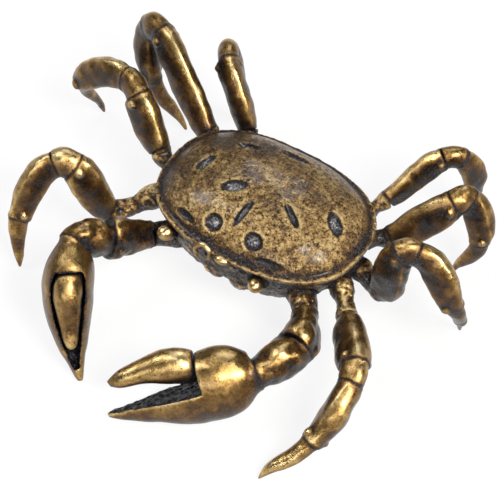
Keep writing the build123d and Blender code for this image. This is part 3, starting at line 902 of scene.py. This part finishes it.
# Upward places painted lighter, downward ones darker: partly wear, partly painted light and shade.
rubbed = plus(rubbed, measured("upward"), top_wear_and_light_share)
# Recesses painted darker: partly patina, partly painted shade.
rubbed = plus(rubbed, measured("recess"), recess_patina_and_shade_share)
rubbed = plus(rubbed, brassy("POWER", in_crease, crease_sharpness), crease_share)
rubbed = plus(rubbed, in_hollow, hollow_share)
# Painted shade on the rims of the dimples.
rubbed = plus(rubbed, on_hollow_rim, hollow_rim_shade_share)
print("nodes after the shares:", len(rubbed_brass.nodes))

# %% Paint light on the front and leave pits
front_light_slant = 0.6
front_light_line = 5 * mm
front_light_fade = 14 * mm
pit_level = 0.5
pit_gain = 6.0

sides = rubbed_brass.nodes.new("ShaderNodeSeparateXYZ")
rubbed_brass.links.new(place, sides.inputs[0])
# The front and right of the crab are painted lighter, as painted light falling there.
painted_front_light = brassy("SUBTRACT", brassy("MULTIPLY", sides.outputs["X"], front_light_slant),
                   brassy("SUBTRACT", sides.outputs["Y"], front_light_line))
painted_front_light = brassy("DIVIDE", painted_front_light, front_light_fade)
rubbed = plus(rubbed, painted_front_light, given["Front Wear"])
pits = brassy("MULTIPLY", brassy("SUBTRACT", pit_level, speck), pit_gain, clamp=True)
rubbed = brassy("SUBTRACT", rubbed, brassy("MULTIPLY", pits, given["Speckle"]), clamp=True)
print("nodes after the pits:", len(rubbed_brass.nodes))

# %% [markdown]
# ### From rubbing to colour
# Gold and cold grey stand side by side on places that were rubbed alike, so one colour ramp can't
# hold them both. The golden ramp runs from patina to bare brass. The steely one is partly the grey
# of burnished patina and partly a painted sheen, the pale reflection that glossy patina gives, and
# it shows in the floors of hollows, in some clouds and wherever the brass is hardly rubbed.

# %% Colour the stages
brass_stops = [
    (0.00, (0.006, 0.005, 0.007)),
    (0.22, (0.018, 0.012, 0.010)),
    (0.42, (0.095, 0.048, 0.016)),
    (0.62, (0.250, 0.145, 0.048)),
    (0.82, (0.560, 0.380, 0.140)),
    (1.00, (0.860, 0.660, 0.340)),
]
# Grey of burnished patina together with a painted sheen.
steel_and_sheen_stops = [
    (0.34, (0.006, 0.006, 0.010)),
    (0.52, (0.034, 0.034, 0.046)),
    (0.64, (0.240, 0.240, 0.270)),
    (0.74, (0.620, 0.620, 0.640)),
]
ramp_middle = 0.5
steel_hollow_share = 0.12
steel_rim_shade_share = -0.5
steel_crease_share = -0.06


def ramp(factor, stops):
    """A colour ramp with its stops given as place and colour."""
    node = rubbed_brass.nodes.new("ShaderNodeValToRGB")
    elements = node.color_ramp.elements
    while len(elements) < len(stops):
        elements.new(ramp_middle)
    for element, (position, colour) in zip(elements, stops):
        element.position = position
        element.color = (*colour, 1)
    rubbed_brass.links.new(factor, node.inputs["Fac"])
    return node.outputs["Color"]


golden = ramp(rubbed, brass_stops)
steel_light = plus(speck, in_hollow, steel_hollow_share)
# The steely grey is painted darker on the rims too, as painted shade.
steel_light = plus(steel_light, on_hollow_rim, steel_rim_shade_share)
steel_and_sheen = ramp(plus(steel_light, in_crease, steel_crease_share), steel_and_sheen_stops)
print("stages of brass and steel:", len(brass_stops), len(steel_and_sheen_stops))

# %% Choose between gold and steel
hollow_mottle = 1.6
hollow_coldness = 0.85
cloud_gain = -2.0
cloud_coldness = 0.45
dark_level = 0.42
dark_gain = 1.6
dark_coldness = 0.6

# Where the steely grey goes: partly grey patina, partly painted sheen, in hollows, clouds and
# hardly rubbed places.
cold = plus(in_hollow, mottle, hollow_mottle)
cold = brassy("MULTIPLY", cold, hollow_coldness, clamp=True)
cold = brassy("MULTIPLY", cold, in_hollow)
cold = plus(cold, brassy("MULTIPLY", cloudy, cloud_gain, clamp=True), cloud_coldness)
hardly_rubbed = brassy("SUBTRACT", dark_level, rubbed)
cold = plus(cold, brassy("MULTIPLY", hardly_rubbed, dark_gain, clamp=True), dark_coldness)
cold = brassy("ADD", cold, given["Greyness"], clamp=True)
blend = rubbed_brass.nodes.new("ShaderNodeMix")
blend.data_type = "RGBA"
rubbed_brass.links.new(cold, blend.inputs["Factor"])
rubbed_brass.links.new(golden, blend.inputs["A"])
rubbed_brass.links.new(steel_and_sheen, blend.inputs["B"])
rubbed_brass.links.new(blend.outputs["Result"], result["Color"])
print("nodes after the colours:", len(rubbed_brass.nodes))

# %% [markdown]
# ### Metal, gloss and height
# Patina is a skin on the metal, so the less it is rubbed, the less it shines like metal. Gloss
# and height could have patterns of their own, but on the real finish they follow the colour, so
# the same mottling and specks roughen the surface and raise it a little. The second, softer
# gloss is made as a lacquer over everything but the creases, which look dull.

# %% Give the brass its gloss and height
least_metal = 0.5
rubbed_metal_share = 0.7
plain_roughness = 0.29
mottle_roughness = 0.45
speck_roughness = 0.10
polish = 0.03
mottle_height = 1.2
crease_height = 3.0
lacquer_weight = 0.3

metal = brassy("ADD", brassy("MULTIPLY", rubbed, rubbed_metal_share), least_metal, clamp=True)
rubbed_brass.links.new(metal, result["Metallic"])
rough = plus(plus(plain_roughness, mottle, mottle_roughness), speck, speck_roughness)
rubbed_brass.links.new(brassy("SUBTRACT", rough, polish, clamp=True), result["Roughness"])
skin = plus(speck, mottle, mottle_height)
creased_skin = brassy("MULTIPLY", skin, plus(1.0, in_crease, crease_height))
rubbed_brass.links.new(creased_skin, result["Height"])
open_skin = brassy("SUBTRACT", 1.0, in_crease, clamp=True)
rubbed_brass.links.new(brassy("MULTIPLY", open_skin, lacquer_weight), result["Lacquer"])
print("nodes in the group:", len(rubbed_brass.nodes))

# %% [markdown]
# ## One material for each kind of casting
# The shell looks greyer and less evenly rubbed than the limbs, the claws and the front legs look
# more rubbed than the rear ones, and the roots of the limbs hardly rubbed. The underside doesn't
# show and is finished like the roots. Six separate finishes would soon drift apart, so the
# materials share the group and differ in its settings. The shader itself stays in each material,
# with its lacquer there.

# %% Mix the materials
lacquer_roughness = 0.20
lacquer_colour = (0.75, 0.62, 0.42, 1)
group_to_shader = {
    "Color": "Base Color",
    "Metallic": "Metallic",
    "Roughness": "Roughness",
    "Lacquer": "Coat Weight",
}


def brass_material(name, skin_depth, rubbing, mottle, speckle, edge_wear,
                   front_light_share=0.0, greyness=0.0):
    """An antique brass with its own skin, rubbing, mottling, speckle, edge wear, painted front
    light and greyness.
    """
    material = bpy.data.materials.new(name)
    material.use_nodes = True
    tree = material.node_tree
    shader = tree.nodes["Principled BSDF"]
    shader.inputs["Coat Roughness"].default_value = lacquer_roughness
    shader.inputs["Coat Tint"].default_value = lacquer_colour
    brass = tree.nodes.new("ShaderNodeGroup")
    brass.node_tree = rubbed_brass
    brass.inputs["Rubbing"].default_value = rubbing
    brass.inputs["Mottle"].default_value = mottle
    brass.inputs["Speckle"].default_value = speckle
    brass.inputs["Edge Wear"].default_value = edge_wear
    brass.inputs["Front Wear"].default_value = front_light_share
    brass.inputs["Greyness"].default_value = greyness
    for output, socket in group_to_shader.items():
        tree.links.new(brass.outputs[output], shader.inputs[socket])
    bump = tree.nodes.new("ShaderNodeBump")
    bump.inputs["Distance"].default_value = skin_depth
    tree.links.new(brass.outputs["Height"], bump.inputs["Height"])
    tree.links.new(bump.outputs["Normal"], shader.inputs["Normal"])
    return material


# Only the shell gets painted light on its front.
shell_brass = brass_material("shell_brass", skin_depth=0.16 * mm, rubbing=0.23, mottle=2.30,
                             speckle=0.40, edge_wear=0.27, front_light_share=0.12, greyness=0.22)
front_brass = brass_material("front_brass", skin_depth=0.035 * mm, rubbing=0.18, mottle=0.65,
                             speckle=0.14, edge_wear=0.28, greyness=-0.10)
rear_brass = brass_material("rear_brass", skin_depth=0.035 * mm, rubbing=0.06, mottle=0.65,
                            speckle=0.14, edge_wear=0.28, greyness=-0.14)
claw_brass = brass_material("claw_brass", skin_depth=0.03 * mm, rubbing=0.28, mottle=0.60,
                            speckle=0.12, edge_wear=0.24)
root_brass = brass_material("root_brass", skin_depth=0.09 * mm, rubbing=0.05, mottle=0.60,
                            speckle=0.16, edge_wear=0.44, greyness=0.12)
eye_brass = brass_material("eye_brass", skin_depth=0.02 * mm, rubbing=0.60, mottle=0.25,
                           speckle=0.05, edge_wear=0.15)
print("materials:", [name for name in bpy.data.materials.keys() if name.endswith("_brass")])

# %% Put the materials on
kind_brass = {
    "shell": shell_brass,
    "underbody": root_brass,
    "eye": eye_brass,
    "brow": eye_brass,
    "root": root_brass,
    "arm": rear_brass,
    "pincer": claw_brass,
    "leg": rear_brass,
}


def material_for(name):
    """Which brass a piece has: its kind's, or the front one for the long parts of leg 1."""
    kind = kind_of(name)
    if kind == "leg" and "leg_1" in name:
        return front_brass
    return kind_brass[kind]


for name, piece in pieces.items():
    piece.data.materials.append(material_for(name))
print("pieces with brass:", len(pieces))
